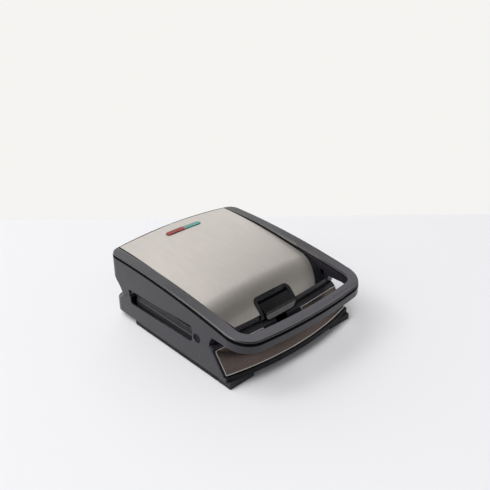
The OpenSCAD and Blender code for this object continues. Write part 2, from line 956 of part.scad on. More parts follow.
// Side view of the lid shell below its top edge
module lid_profile() {
    under_z = bar_bottom_z + 5;
    across()
        polygon(concat(
            [[rear_y + cut, arm_top_z + cut], [rear_y + cut, rear_turn_z], [rear_y, rear_turn_z]],
            lid_rear(),
            [
                [notch_y + 0.6, notch_z + part_gap / 2],
                [flat_y, part_z + part_gap / 2],
                [lid_shell_front_y, part_z + part_gap / 2],
                [lid_shell_front_y - 0.9, part_z + 6],
                [lid_shell_front_y - 3, part_z + 11],
                [lid_shell_front_y - 7, under_z],
                [lid_shell_front_y - 30, under_z],
                [bar_y - cut, bar_bottom_z],
                [bar_y - cut, arm_top_z + cut]
            ]
        ));
}

module lid_shell() {
    shell_top_drop = trim_t + groove_h;
    channel_floor_z = lid_cavity_z + wall;
    color(plastic_grey)
        difference() {
            intersection() {
                linear_extrude(big)
                    difference() {
                        lid_outline();
                        loop_outline();
                    }
                lid_profile();
                arm_arch(shell_top_drop);
            }
            // channel inside the arms and the handle, closed by the trim
            intersection() {
                linear_extrude(big)
                    difference() {
                        lid_outline(wall);
                        loop_outline(wall);
                    }
                across()
                    polygon([
                        [rear_y, channel_floor_z],
                        [lid_shell_front_y, channel_floor_z],
                        [lid_shell_front_y - 8, bar_bottom_z + 8],
                        [bar_y, bar_bottom_z + 3],
                        [bar_y, big / 2],
                        [rear_y, big / 2]
                    ]);
            }
            // space beside the plates, below the arms
            intersection() {
                linear_extrude(lid_cavity_z)
                    lid_outline(wall);
                translate([-big / 2, lid_shell_front_y + wall, 0])
                    cube([big, rear_y - lid_shell_front_y - wall, big]);
                lid_cavity_profile();
            }
            window_cut();
            button_hole();
            hinge_arm_solid(clear);
        }
}

// Keeps a wall behind the lid's curved lower rear
module lid_cavity_profile() {
    across()
        polygon(concat(
            [[rear_y - wall, rear_turn_z + cut], [rear_y - wall, rear_turn_z + wall]],
            lid_rear(wall, 0.6 * wall),
            [
                [notch_y + 0.6, notch_z + part_gap / 2 + 3],
                [flat_y, part_z],
                [flat_y, 0],
                [lid_front_y, 0],
                [lid_front_y, rear_turn_z + cut]
            ]
        ));
}

// Ring between the outline of the handle and its loop, above an arch lowered by depth
module handle_ring(outer_inset, inner_grow, depth) {
    difference() {
        linear_extrude(big)
            difference() {
                lid_outline(outer_inset);
                loop_outline(inner_grow);
            }
        arm_arch(depth);
    }
}

module handle_trim() {
    neck = wall + 0.1;
    plug_depth = 3;
    top_inset = 0.6;
    color(plastic_grey)
        intersection() {
            arm_arch();
            union() {
                handle_ring(top_inset, 0, trim_t);
                handle_ring(groove_d, 0, trim_t + groove_h);
                difference() {
                    handle_ring(neck, neck, trim_t + groove_h + plug_depth);
                    translate([-big / 2, rear_y - rear_corner_r, 0])
                        cube(big);
                }
            }
        }
}

// Outline of the latch surround: rounded at the top, open at the front
module bezel_outline(grow = 0) {
    bezel_corner_r = 8 + grow;
    half = bezel_w / 2 + grow;
    top_y = lid_front_y + 18.5 + grow;
    bottom_y = lid_front_y - 1.3 - grow;
    for (side = [-1, 1])
        translate([side * (half - bezel_corner_r), top_y - bezel_corner_r])
            circle(bezel_corner_r, $fn = round_fn);
    translate([-half + bezel_corner_r, bottom_y])
        square([2 * (half - bezel_corner_r), top_y - bottom_y]);
    translate([-half, bottom_y])
        square([2 * half, top_y - bottom_y - bezel_corner_r]);
}

module pocket_cut() {
    translate([-pocket_half, lid_front_y - 6, 0])
        cube([2 * pocket_half, pocket_back_y - lid_front_y + 6, big]);
}

module latch_bezel() {
    proud = 0.5;
    depth = 2;
    rim_bottom_z = part_z + 2;
    color(plastic_black)
        difference() {
            intersection() {
                translate([0, 0, rim_bottom_z])
                    linear_extrude(big)
                        bezel_outline();
                under_cover(-proud);
            }
            intersection() {
                under_cover(depth);
                linear_extrude(big)
                    lid_inside_outline(0);
            }
            pocket_cut();
        }
}

module lens_outline(grow = 0) {
    end_x = lens_len / 2 - lens_w / 2;
    for (side = [-1, 1])
        translate([side * end_x, lens_y])
            circle(lens_w / 2 + grow, $fn = round_fn);
    translate([-end_x, lens_y - lens_w / 2 - grow])
        square([2 * end_x, lens_w + 2 * grow]);
}

module lid_posts(r, z0, z1) {
    both_sides()
        for (y = lid_screw_ys)
            translate([lid_screw_x, y, z0])
                cylinder(r = r, h = z1 - z0, $fn = round_fn);
}

// Black frame under the steel: its shoulders show beside the steel and its front rim below it
module lid_frame() {
    rim_z = part_z + 2;
    steel_seat = steel_t + clear;
    skin = 2.4;
    pan_top_z = 2 * split_z - pan_floor_z;
    pocket_t = 2;
    board_post_x = 24;
    color(plastic_black)
        difference() {
            union() {
                difference() {
                    intersection() {
                        translate([0, 0, rim_z])
                            linear_extrude(big)
                                lid_inside_outline(clear);
                        under_cover();
                    }
                    intersection() {
                        linear_extrude(big)
                            lid_inside_outline(clear + skin);
                        under_cover(steel_seat + skin);
                    }
                    // room for the plate, its reflector and the arms' lower walls
                    translate([-half_w, plate_y0 - 2, 0])
                        cube([body_w, big, pan_top_z + 1.5]);
                }
                // walls of the latch pocket
                intersection() {
                    translate([-pocket_half - pocket_t, lid_front_y + 1, rim_z])
                        cube([2 * (pocket_half + pocket_t), pocket_back_y - lid_front_y + pocket_t - 1, big]);
                    under_cover(steel_seat + skin / 2);
                }
                intersection() {
                    lid_posts(post_r, pan_top_z, pan_top_z + 40);
                    under_cover(steel_seat + skin / 2);
                }
                intersection() {
                    for (side = [-1, 1])
                        translate([side * board_post_x, lens_y - 6, board_z + board_t])
                            cylinder(r = 2, h = 20, $fn = round_fn);
                    under_cover(steel_seat + skin / 2);
                }
            }
            // seat for the steel cover
            difference() {
                translate([0, 0, cover_front_z - 0.2])
                    linear_extrude(big)
                        steel_outline(0.2);
                under_cover(steel_seat);
            }
            // seat for the latch surround
            difference() {
                linear_extrude(big)
                    bezel_outline(0.2);
                under_cover(2 + clear);
            }
            pocket_cut();
            lid_posts(screw_r, pan_top_z - cut, pan_top_z + 7);
            linear_extrude(big)
                lens_outline(clear);
            disc_x(latch_pin_r, 2 * pocket_half + 2 * pocket_t + 2, 0, latch_y, latch_z);
            hinge_arm_solid(clear);
        }
}

module steel_cover() {
    color(steel)
        difference() {
            intersection() {
                translate([0, 0, cover_front_z])
                    linear_extrude(big)
                        steel_outline();
                under_cover();
            }
            under_cover(steel_t);
            linear_extrude(big)
                bezel_outline(0.2);
            linear_extrude(big)
                lens_outline(0.2);
        }
}

module lid_screws() {
    head_t = 1.5;
    pan_underside_z = 2 * split_z - pan_floor_z - pan_wall;
    color(bare_metal) {
        lid_posts(head_r, pan_underside_z - head_t, pan_underside_z);
        lid_posts(screw_r - 0.02, pan_underside_z - head_t, pan_underside_z + 6.5);
    }
}

// Half of the pill-shaped lens; side is -1 or 1
module lens(side) {
    stem = 4;
    intersection() {
        linear_extrude(big)
            lens_outline();
        difference() {
            under_cover(-lens_proud);
            under_cover(stem);
        }
        translate([side > 0 ? 0.05 : -big - 0.05, -big, 0])
            cube([big, 2 * big, big]);
    }
}

module red_lens() {
    color([0.70, 0.20, 0.18])
        lens(-1);
}

module green_lens() {
    color([0.45, 0.72, 0.66])
        lens(1);
}

module lamp_board() {
    board_w = 60;
    board_d = 18;
    color([0.35, 0.42, 0.25])
        translate([-board_w / 2, lens_y - board_d / 2, board_z])
            cube([board_w, board_d, board_t]);
}

module neon_lamps() {
    lamp_r = 2;
    color([0.9, 0.85, 0.8])
        for (side = [-1, 1])
            disc_x(lamp_r, 14, side * 14, lens_y + 1, board_z + board_t + lamp_r);
}

// ---------------------------------------------------------------- latch

module latch_lever() {
    face_y = lid_front_y - 5.2;
    nose_y = face_y + latch_nose_r;
    nose_z = part_z + 8;
    top_slope = 27;
    foot_z = part_z + 0.6;
    heel = [latch_y + 4, part_z + 4];
    heel_top_z = part_z + 19.6;
    foot_y = lid_front_y + 1.3;
    corner_r = 8;
    hook_top_z = part_z + 7;
    hook_bottom_z = catch_z - 3;
    hook_front_y = lid_front_y - 1.2;
    hook_t = 2.2;
    slot_r = 3.2;
    color(plastic_black)
        difference() {
            union() {
                intersection() {
                    union() {
                        disc_x(latch_nose_r, latch_w, 0, nose_y, nose_z);
                        across(latch_w)
                            polygon([
                                [face_y, nose_z],
                                [nose_y, nose_z],
                                [
                                    nose_y - latch_nose_r * sin(top_slope),
                                    nose_z + latch_nose_r * cos(top_slope)
                                ],
                                [heel[0], heel_top_z],
                                heel,
                                [foot_y, foot_z],
                                [face_y, foot_z]
                            ]);
                    }
                    // lower corners of the front face, rounded as seen from the front
                    translate([0, heel[0] + cut, 0])
                        rotate([90, 0, 0])
                            linear_extrude(big)
                                lever_outline(foot_z, corner_r);
                }
                across(hook_w)
                    polygon([
                        [hook_front_y, hook_top_z],
                        [hook_front_y, hook_bottom_z],
                        [catch_y - 0.5, hook_bottom_z],
                        [catch_y - 0.5, catch_z - 0.3],
                        [hook_front_y + hook_t - 1, catch_z + 1],
                        [hook_front_y + hook_t - 1, hook_top_z]
                    ]);
            }
            disc_x(latch_pin_r + pin_clear, latch_w + 2, 0, latch_y, latch_z);
            // room for the spring
            translate([spring_slot_x - spring_slot_w / 2, latch_y - slot_r, 0])
                cube([spring_slot_w, big, latch_z + slot_r]);
        }
}

// Outline of the lever seen from the front, with rounded lower corners
module lever_outline(foot_z, corner_r) {
    half = latch_w / 2;
    for (side = [-1, 1])
        translate([side * (half - corner_r), foot_z + corner_r])
            circle(corner_r, $fn = round_fn);
    translate([-half + corner_r, foot_z])
        square([2 * (half - corner_r), corner_r]);
    translate([-half, foot_z + corner_r])
        square([2 * half, big]);
}

module latch_pin() {
    color(steel)
        disc_x(latch_pin_r, 2 * pocket_half + 3, 0, latch_y, latch_z);
}

// Torsion spring coiled round the pin beside the lever
module latch_spring() {
    wire_r = 0.4;
    coil_r = latch_pin_r + wire_r + 0.15;
    pitch = 0.75;
    turns = 4;
    coil_x = spring_slot_x - (turns - 1) * pitch / 2;
    color(steel)
        for (turn = [0:turns - 1])
            translate([coil_x + turn * pitch, latch_y, latch_z])
                rotate([0, 90, 0])
                    rotate_extrude($fn = round_fn)
                        translate([coil_r, 0])
                            circle(wire_r, $fn = 16);
}

base_shell();
front_plate();
bottom_cover();
front_feet();
rear_feet();
base_screws();
lower_plate();
lower_element();
lower_reflector();
lower_plate_clips();
thermostat();
thermal_fuse();
terminal_block();
cord_inlet();
latch_catch();
hinge_brackets();
hinge_pins();
lid_shell();
lid_frame();
handle_trim();
steel_cover();
hinge_arms();
lid_screws();
upper_plate();
upper_element();
upper_reflector();
upper_plate_clips();
red_lens();
green_lens();
lamp_board();
neon_lamps();
latch_bezel();
latch_pin();
latch_spring();
latch_lever();
lower_left_button();
lower_right_button();
upper_left_button();
upper_right_button();
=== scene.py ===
# %% [markdown]
# # A sandwich toaster in its finish
# The imported CAD model gives every piece its size, its place and its body. This lesson gives the pieces
# what a drawing leaves out: soft moulded edges, brushed sheet steel, a dark bead, the grain of the
# plastic and a little wear. Each finish is built once and then shared by the pieces that carry it.
#
# ## The frame
# Their box is kept: later cells read sizes and places from it.

# %% Load the frame
import json
import math

import bpy
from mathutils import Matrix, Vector


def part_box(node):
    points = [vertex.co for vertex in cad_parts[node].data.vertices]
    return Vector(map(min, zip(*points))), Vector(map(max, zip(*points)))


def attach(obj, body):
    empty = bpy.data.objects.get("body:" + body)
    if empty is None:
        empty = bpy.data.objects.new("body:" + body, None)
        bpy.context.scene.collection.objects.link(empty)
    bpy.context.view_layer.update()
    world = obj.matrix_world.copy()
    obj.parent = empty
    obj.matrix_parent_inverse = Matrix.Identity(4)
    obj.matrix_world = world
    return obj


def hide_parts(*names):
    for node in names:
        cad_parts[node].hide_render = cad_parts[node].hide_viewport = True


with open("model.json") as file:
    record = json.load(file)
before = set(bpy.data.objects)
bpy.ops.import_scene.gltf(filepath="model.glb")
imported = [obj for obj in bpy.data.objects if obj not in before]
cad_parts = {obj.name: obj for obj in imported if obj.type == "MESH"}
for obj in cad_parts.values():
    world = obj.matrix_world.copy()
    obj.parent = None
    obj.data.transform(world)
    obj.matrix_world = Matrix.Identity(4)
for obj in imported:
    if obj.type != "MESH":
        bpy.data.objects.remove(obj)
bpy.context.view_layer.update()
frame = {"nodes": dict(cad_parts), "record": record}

MM = 0.001
body_of = {node: body for body, nodes in frame["record"]["behaviour"]["bodies"].items() for node in nodes}
slot_of = {part["node"]: part["material_slot"] for part in frame["record"]["subparts"]}

# %% [markdown]
# ## The camera
# A long lens from the front left, a little above the lid, shows the cover, the handle and one side.
# Lens and place belong together: the nearer the camera, the stronger the perspective. It comes first,
# because every later choice of detail depends on how large a piece appears.

# %% Camera
camera_place = Vector((-0.565685, -0.613160, 0.552749))
camera_down = 27.234
camera_turn = -43.530
focal_length = 48.35

camera_data = bpy.data.cameras.new("portrait_camera")
camera_data.sensor_width = 36
camera_data.lens = focal_length
camera = bpy.data.objects.new("portrait_camera", camera_data)
bpy.context.scene.collection.objects.link(camera)
camera.location = camera_place
camera.rotation_euler = (math.radians(90 - camera_down), 0, math.radians(camera_turn))
bpy.context.scene.camera = camera
print("camera distance:", round(camera_place.length, 3), "m")

# %% [markdown]
# ## Colours
# Colours are judged on a screen, so they are written as screen values from 0 to 255. Blender's shaders
# work with linear light, so one small function turns the first into the second.

# %% Colours
def screen_colour(red, green, blue):
    def linear(value):
        value = value / 255
        return value / 12.92 if value <= 0.04045 else ((value + 0.055) / 1.055) ** 2.4
    return (linear(red), linear(green), linear(blue), 1.0)


print("middle grey is", round(screen_colour(128, 128, 128)[0], 3), "in linear light")

# %% [markdown]
# ## Node helpers
# A material is a tree of nodes. It could be drawn by hand in the shader editor, but a recipe in code
# can be read, repeated and changed in one place. `add_node` sets a node's own settings and its input
# values by name, and `link` joins two sockets.

# %% Node helpers
def add_node(tree, kind, **values):
    node = tree.nodes.new(kind)
    for key, value in values.items():
        if key in node.bl_rna.properties.keys():
            setattr(node, key, value)
        else:
            node.inputs[key.replace("_", " ")].default_value = value
    return node


def link(tree, source, target):
    tree.links.new(source, target)


def math_node(tree, operation, first, second):
    node = add_node(tree, "ShaderNodeMath", operation=operation)
    for socket, value in zip(node.inputs, (first, second)):
        if isinstance(value, (int, float)):
            socket.default_value = value
        else:
            link(tree, value, socket)
    return node.outputs[0]


def remap(tree, value, low, high, to_low=0.0, to_high=1.0):
    node = add_node(tree, "ShaderNodeMapRange")
    node.inputs["From Min"].default_value = low
    node.inputs["From Max"].default_value = high
    node.inputs["To Min"].default_value = to_low
    node.inputs["To Max"].default_value = to_high
    link(tree, value, node.inputs["Value"])
    return node.outputs["Result"]


def mix_colours(tree, amount, first, second):
    node = add_node(tree, "ShaderNodeMix", data_type="RGBA")
    link(tree, amount, node.inputs["Factor"])
    for socket, value in ((node.inputs[6], first), (node.inputs[7], second)):
        if isinstance(value, tuple):
            socket.default_value = value
        else:
            link(tree, value, socket)
    return node.outputs[2]


def object_place(tree, stretch=(1, 1, 1)):
    place = add_node(tree, "ShaderNodeTexCoord")
    mapping = add_node(tree, "ShaderNodeMapping")
    mapping.inputs["Scale"].default_value = stretch
    link(tree, place.outputs["Object"], mapping.inputs["Vector"])
    return mapping.outputs["Vector"]


def new_material(name):
    material = bpy.data.materials.new(name)
    material.use_nodes = True
    tree = material.node_tree
    tree.nodes.clear()
    output = add_node(tree, "ShaderNodeOutputMaterial")
    shader = add_node(tree, "ShaderNodeBsdfPrincipled")
    link(tree, shader.outputs["BSDF"], output.inputs["Surface"])
    return material, tree, shader


def new_group(name, inputs, outputs):
    group = bpy.data.node_groups.new(name, "ShaderNodeTree")
    for socket, kind, value in inputs:
        made = group.interface.new_socket(name=socket, in_out="INPUT", socket_type=kind)
        if value is not None:
            made.default_value = value
    for socket, kind in outputs:
        group.interface.new_socket(name=socket, in_out="OUTPUT", socket_type=kind)
    return group, group.nodes.new("NodeGroupInput"), group.nodes.new("NodeGroupOutput")


def place_group(tree, group, place, **values):
    node = tree.nodes.new("ShaderNodeGroup")
    node.node_tree = group
    for key, value in values.items():
        node.inputs[key].default_value = value
    link(tree, place, node.inputs["Place"])
    return node


def shader_of(material):
    return next(node for node in material.node_tree.nodes if node.bl_idname == "ShaderNodeBsdfPrincipled")


print("node helpers ready")

# %% [markdown]
# ## Shared effects
# ### Grain of moulded plastic
# A steel mould is spark-eroded or blasted, and the plastic copies its fine pits. The grain could be
# modelled, but at a tenth of a millimetre it is better as bump. Two noises are enough: a fine one for
# the pits, and a slow one for the uneven sheen where the plastic cooled at different speeds.

# %% Moulded grain
moulded_grain, grain_in, grain_out = new_group(
    "moulded_grain",
    [("Place", "NodeSocketVector", None), ("Fineness", "NodeSocketFloat", 1400.0)],
    [("Height", "NodeSocketFloat"), ("Tone", "NodeSocketFloat")],
)
pits = add_node(moulded_grain, "ShaderNodeTexNoise", Detail=2.0, Roughness=0.6)
link(moulded_grain, grain_in.outputs["Place"], pits.inputs["Vector"])
link(moulded_grain, grain_in.outputs["Fineness"], pits.inputs["Scale"])
sheen = add_node(moulded_grain, "ShaderNodeTexNoise", Scale=26.0, Detail=4.0)
link(moulded_grain, grain_in.outputs["Place"], sheen.inputs["Vector"])
link(moulded_grain, pits.outputs["Fac"], grain_out.inputs["Height"])
link(moulded_grain, remap(moulded_grain, sheen.outputs["Fac"], 0.3, 0.7), grain_out.inputs["Tone"])
print("moulded_grain:", len(moulded_grain.nodes), "nodes")

# %% [markdown]
# ### Brushed lines
# Sheet steel is drawn under an abrasive belt, which leaves long parallel scratches. A noise that is
# squeezed across the scratches and pulled out along them gives lines. The material chooses their
# direction with its own mapping, so one group serves sheets brushed either way. Fine lines go to the
# bump and the roughness, and broad bands change the tone a little.

# %% Brushed lines
brushed_lines, brush_in, brush_out = new_group(
    "brushed_lines",
    [("Place", "NodeSocketVector", None), ("Fineness", "NodeSocketFloat", 1500.0)],
    [("Lines", "NodeSocketFloat"), ("Bands", "NodeSocketFloat")],
)
fine_lines = add_node(brushed_lines, "ShaderNodeTexNoise", Detail=3.0, Roughness=0.65)
link(brushed_lines, brush_in.outputs["Place"], fine_lines.inputs["Vector"])
link(brushed_lines, brush_in.outputs["Fineness"], fine_lines.inputs["Scale"])
broad_lines = add_node(brushed_lines, "ShaderNodeTexNoise", Detail=2.0)
link(brushed_lines, brush_in.outputs["Place"], broad_lines.inputs["Vector"])
broad_scale = math_node(brushed_lines, "MULTIPLY", brush_in.outputs["Fineness"], 0.16)
link(brushed_lines, broad_scale, broad_lines.inputs["Scale"])
link(brushed_lines, remap(brushed_lines, fine_lines.outputs["Fac"], 0.3, 0.7), brush_out.inputs["Lines"])
link(brushed_lines, remap(brushed_lines, broad_lines.outputs["Fac"], 0.3, 0.7), brush_out.inputs["Bands"])
print("brushed_lines:", len(brushed_lines.nodes), "nodes")

# %% [markdown]
# ### Edge wear and painted edge highlight
# Hands and cloths polish an edge before they touch the middle of a face. The same lighter colour also
# stands for a painted highlight, a thin line of light along edges. The Bevel node gives the normal of a
# slightly rounder edge: where it differs from the true normal there is an edge nearby. A noise breaks
# the mask up, so that the wear comes and goes.

# %% Edge wear and painted highlight
edge_wear_and_highlight, edge_mark_in, edge_mark_out = new_group(
    "edge_wear_and_highlight",
    [
        ("Place", "NodeSocketVector", None),
        ("Reach", "NodeSocketFloat", 0.0006),
        ("Amount", "NodeSocketFloat", 1.0),
    ],
    [("Mask", "NodeSocketFloat")],
)
round_normal = add_node(edge_wear_and_highlight, "ShaderNodeBevel", samples=6)
link(edge_wear_and_highlight, edge_mark_in.outputs["Reach"], round_normal.inputs["Radius"])
true_normal = add_node(edge_wear_and_highlight, "ShaderNodeNewGeometry")
compare = add_node(edge_wear_and_highlight, "ShaderNodeVectorMath", operation="DOT_PRODUCT")
link(edge_wear_and_highlight, round_normal.outputs["Normal"], compare.inputs[0])
link(edge_wear_and_highlight, true_normal.outputs["Normal"], compare.inputs[1])
nearness = remap(edge_wear_and_highlight, compare.outputs["Value"], 0.995, 0.86)
edge_mark_noise = add_node(edge_wear_and_highlight, "ShaderNodeTexNoise", Scale=90.0, Detail=5.0)
link(edge_wear_and_highlight, edge_mark_in.outputs["Place"], edge_mark_noise.inputs["Vector"])
broken = math_node(edge_wear_and_highlight, "MULTIPLY", nearness, remap(edge_wear_and_highlight, edge_mark_noise.outputs["Fac"], 0.15, 0.55))
link(edge_wear_and_highlight, math_node(edge_wear_and_highlight, "MULTIPLY", broken, edge_mark_in.outputs["Amount"]), edge_mark_out.inputs["Mask"])
print("edge_wear_and_highlight:", len(edge_wear_and_highlight.nodes), "nodes")

# %% [markdown]
# ### Settled dust
# A kitchen leaves a thin film on whatever faces up. The mask is the upward part of the normal times a
# patchy noise, with a few specks on top. It stays faint: it should be missed when it is taken away,
# and hardly seen while it is there.

# %% Settled dust
settled_dust, dust_in, dust_out = new_group(
    "settled_dust",
    [("Place", "NodeSocketVector", None), ("Amount", "NodeSocketFloat", 0.1)],
    [("Mask", "NodeSocketFloat")],
)
facing = add_node(settled_dust, "ShaderNodeNewGeometry")
facing_parts = add_node(settled_dust, "ShaderNodeSeparateXYZ")
link(settled_dust, facing.outputs["Normal"], facing_parts.inputs["Vector"])
upward = remap(settled_dust, facing_parts.outputs["Z"], 0.2, 1.0)
film = add_node(settled_dust, "ShaderNodeTexNoise", Scale=45.0, Detail=6.0)
link(settled_dust, dust_in.outputs["Place"], film.inputs["Vector"])
specks = add_node(settled_dust, "ShaderNodeTexNoise", Scale=1100.0, Detail=1.0)
link(settled_dust, dust_in.outputs["Place"], specks.inputs["Vector"])
film_part = remap(settled_dust, film.outputs["Fac"], 0.4, 0.75)
speck_part = remap(settled_dust, specks.outputs["Fac"], 0.72, 0.8)
dust_sum = math_node(settled_dust, "ADD", film_part, speck_part)
dust_up = math_node(settled_dust, "MULTIPLY", dust_sum, upward)
dust_mask = math_node(settled_dust, "MULTIPLY", dust_up, dust_in.outputs["Amount"])
link(settled_dust, dust_mask, dust_out.inputs["Mask"])
print("settled_dust:", len(settled_dust.nodes), "nodes")

# %% [markdown]
# ## Plastics
# The side panels, the handle and the black pieces are moulded in the same way and differ in colour,
# grain and gloss, so one function makes them all. Uniform values are set on the shader itself, and
# only what varies over the surface is linked: the colour at worn edges, which is partly a painted
# highlight along the edges, the colour under dust, the sheen, and the grain. The handle's trim can be
# painted paler over a stretch of depth towards its front bar: a painted highlight, where the bar catches
# more light. The handle's curve can be given too: what lies less than a given depth under it is painted
# near black with little gloss, a painted shadow under the band.

# %% Plastics
dust_colour = screen_colour(150, 147, 142)
# Near-black colour, gloss and fade of the painted shadow under the handle's band.
band_shadow_colour = screen_colour(10, 10, 12)
band_shadow_gloss = 0.03
band_shadow_fade = 0.0002
wear_and_highlight_amount = 0.8
coat_roughness = 0.04


def moulded_plastic(
    name, colour, wear_and_highlight_colour, roughness, fineness=1400.0, depth=0.05, coat=0.0, dust=0.08, spread=0.05, gloss=0.5,
    lit_stretch=None, arch=None,
):
    material, tree, shader = new_material(name)
    shader.inputs["Specular IOR Level"].default_value = gloss
    place = object_place(tree)
    grain = place_group(tree, moulded_grain, place, Fineness=fineness)
    edge_marks = place_group(tree, edge_wear_and_highlight, place, Amount=wear_and_highlight_amount)
    dusty = place_group(tree, settled_dust, place, Amount=dust)
    # The edge mask mixes in a lighter colour: partly real wear, partly a painted highlight along the edges.
    wear_and_highlight_mix = mix_colours(tree, edge_marks.outputs["Mask"], colour, wear_and_highlight_colour)
    dusty_mix = mix_colours(tree, dusty.outputs["Mask"], wear_and_highlight_mix, dust_colour)
    # Painted highlight: the handle is painted paler over this stretch of depth towards its front bar, where
    # it catches more light.
    if lit_stretch is not None:
        axes = add_node(tree, "ShaderNodeSeparateXYZ")
        link(tree, place, axes.inputs["Vector"])
        lit_front = remap(tree, axes.outputs["Y"], lit_stretch[0], lit_stretch[1])
        dusty_mix = mix_colours(tree, lit_front, dusty_mix, wear_and_highlight_colour)
    # Painted shadow: what lies within the given depth under the handle's arch is painted near black with
    # little gloss.
    if arch is not None:
        apex_y, apex_z, radius, shadow_depth = arch
        axes = add_node(tree, "ShaderNodeSeparateXYZ")
        link(tree, place, axes.inputs["Vector"])
        along = math_node(tree, "SUBTRACT", axes.outputs["Y"], apex_y)
        drop = math_node(tree, "DIVIDE", math_node(tree, "MULTIPLY", along, along), 2 * radius)
        arch_height = math_node(tree, "SUBTRACT", apex_z, drop)
        under = math_node(tree, "SUBTRACT", arch_height, axes.outputs["Z"])
        dark = remap(tree, under, shadow_depth, shadow_depth - band_shadow_fade)
        dusty_mix = mix_colours(tree, dark, dusty_mix, band_shadow_colour)
        link(tree, remap(tree, dark, 0.0, 1.0, gloss, band_shadow_gloss), shader.inputs["Specular IOR Level"])
    link(tree, dusty_mix, shader.inputs["Base Color"])
    sheen_range = remap(tree, grain.outputs["Tone"], 0.0, 1.0, roughness - spread, roughness + spread)
    link(tree, sheen_range, shader.inputs["Roughness"])
    bump = add_node(tree, "ShaderNodeBump", Strength=depth, Distance=0.0002)
    link(tree, grain.outputs["Height"], bump.inputs["Height"])
    link(tree, bump.outputs["Normal"], shader.inputs["Normal"])
    if coat > 0:
        shader.inputs["Coat Weight"].default_value = coat
        shader.inputs["Coat Roughness"].default_value = coat_roughness
    return material


arch_radius = 1.4
arch_apex_y = 0.120
arch_apex_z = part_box("handle_trim")[1][2]
band_shadow_depth = 6.5 * MM
side_grey = moulded_plastic(
    "side_grey", screen_colour(37, 35, 41), screen_colour(112, 110, 117), 0.3, depth=0.12,
    arch=(arch_apex_y, arch_apex_z, arch_radius, band_shadow_depth),
)
trim_grey = moulded_plastic(
    "trim_grey", screen_colour(47, 45, 50), screen_colour(84, 82, 88), 0.3, depth=0.12, gloss=0.6,
    lit_stretch=(-0.04, -0.12),
)
deep_black = moulded_plastic(
    "deep_black", screen_colour(24, 24, 29), screen_colour(52, 52, 54), 0.28, depth=0.08, gloss=0.3
)
matt_black = moulded_plastic(
    "matt_black", screen_colour(17, 16, 20), screen_colour(40, 40, 41), 0.5, depth=0.2, dust=0.03, gloss=0.15
)
deep_shade = moulded_plastic(
    "deep_shade", screen_colour(12, 12, 14), screen_colour(16, 16, 18), 0.6, depth=0.1, dust=0.0, gloss=0.05
)
gloss_black = moulded_plastic(
    "gloss_black", screen_colour(14, 14, 17), screen_colour(20, 20, 23), 0.2, depth=0.02, coat=1.0, dust=0.02,
    spread=0.03,
)
rubber = moulded_plastic(
    "foot_rubber", screen_colour(28, 28, 29), screen_colour(58, 57, 56), 0.72, 900.0, 0.5
)
board_green = moulded_plastic("board_green", screen_colour(84, 98, 58), screen_colour(120, 128, 96), 0.5)
print("plastics made")

# %% [markdown]
# ## Metals
# Brushed sheet reflects like a mirror along its scratches and blurs across them. The colour of a metal
# is the colour of its reflection, so it is set a little warm, as stainless steel is. `stretch` squeezes
# the pattern: a small number along one axis pulls the lines out along it. `across` is the direction
# over the scratches, in which the reflection spreads most.

# %% Metals
cross_blur = 0.65


def sheet_metal(name, colour, dark, roughness, stretch, fineness=1500.0, depth=0.1, dust=0.05, across=None):
    material, tree, shader = new_material(name)
    shader.inputs["Metallic"].default_value = 1.0
    if across is not None:
        shader.inputs["Anisotropic"].default_value = cross_blur
        own_axis = add_node(
            tree, "ShaderNodeVectorTransform", vector_type="VECTOR", convert_from="OBJECT", convert_to="WORLD"
        )
        own_axis.inputs["Vector"].default_value = across
        link(tree, own_axis.outputs["Vector"], shader.inputs["Tangent"])
    brush = place_group(tree, brushed_lines, object_place(tree, stretch), Fineness=fineness)
    place = object_place(tree)
    dusty = place_group(tree, settled_dust, place, Amount=dust)
    lines = mix_colours(tree, remap(tree, brush.outputs["Bands"], 0.0, 1.0, 0.0, 0.5), colour, dark)
    fine = mix_colours(tree, remap(tree, brush.outputs["Lines"], 0.0, 1.0, 0.0, 0.35), lines, dark)
    link(tree, mix_colours(tree, dusty.outputs["Mask"], fine, dust_colour), shader.inputs["Base Color"])
    rough = remap(tree, brush.outputs["Lines"], 0.0, 1.0, roughness - 0.05, roughness + 0.06)
    link(tree, rough, shader.inputs["Roughness"])
    bump = add_node(tree, "ShaderNodeBump", Strength=depth, Distance=0.0001)
    link(tree, brush.outputs["Lines"], bump.inputs["Height"])
    link(tree, bump.outputs["Normal"], shader.inputs["Normal"])
    return material


def worked_metal(name, colour, wear_and_highlight_colour, roughness, fineness, depth):
    material = moulded_plastic(name, colour, wear_and_highlight_colour, roughness, fineness, depth, dust=0.05, spread=0.08)
    shader_of(material).inputs["Metallic"].default_value = 1.0
    return material


cover_steel = sheet_metal(
    "cover_steel", screen_colour(210, 204, 198), screen_colour(196, 190, 183), 0.36, (1, 0.012, 1),
    depth=0.35, across=(1, 0, 0),
)
# The panel's steel is painted much darker than the cover's: painted shade for the dark surroundings it
# reflects.
panel_steel = sheet_metal(
    "panel_steel", screen_colour(126, 113, 108), screen_colour(110, 97, 92), 0.26, (0.006, 1, 1), 900.0,
    depth=0.02, dust=0.03,
)
cut_edge = worked_metal(
    "cut_edge", screen_colour(232, 228, 224), screen_colour(240, 238, 236), 0.5, 2200.0, 0.1
)
bare_steel = worked_metal(
    "bare_steel", screen_colour(176, 176, 178), screen_colour(208, 208, 208), 0.32, 2200.0, 0.1
)
cast_metal = worked_metal(
    "cast_metal", screen_colour(150, 150, 152), screen_colour(190, 190, 190), 0.5, 700.0, 0.5
)
reflector_sheet = sheet_metal(
    "reflector_sheet", screen_colour(190, 190, 192), screen_colour(150, 150, 152), 0.34, (0.02, 1, 1)
)
print("metals made")

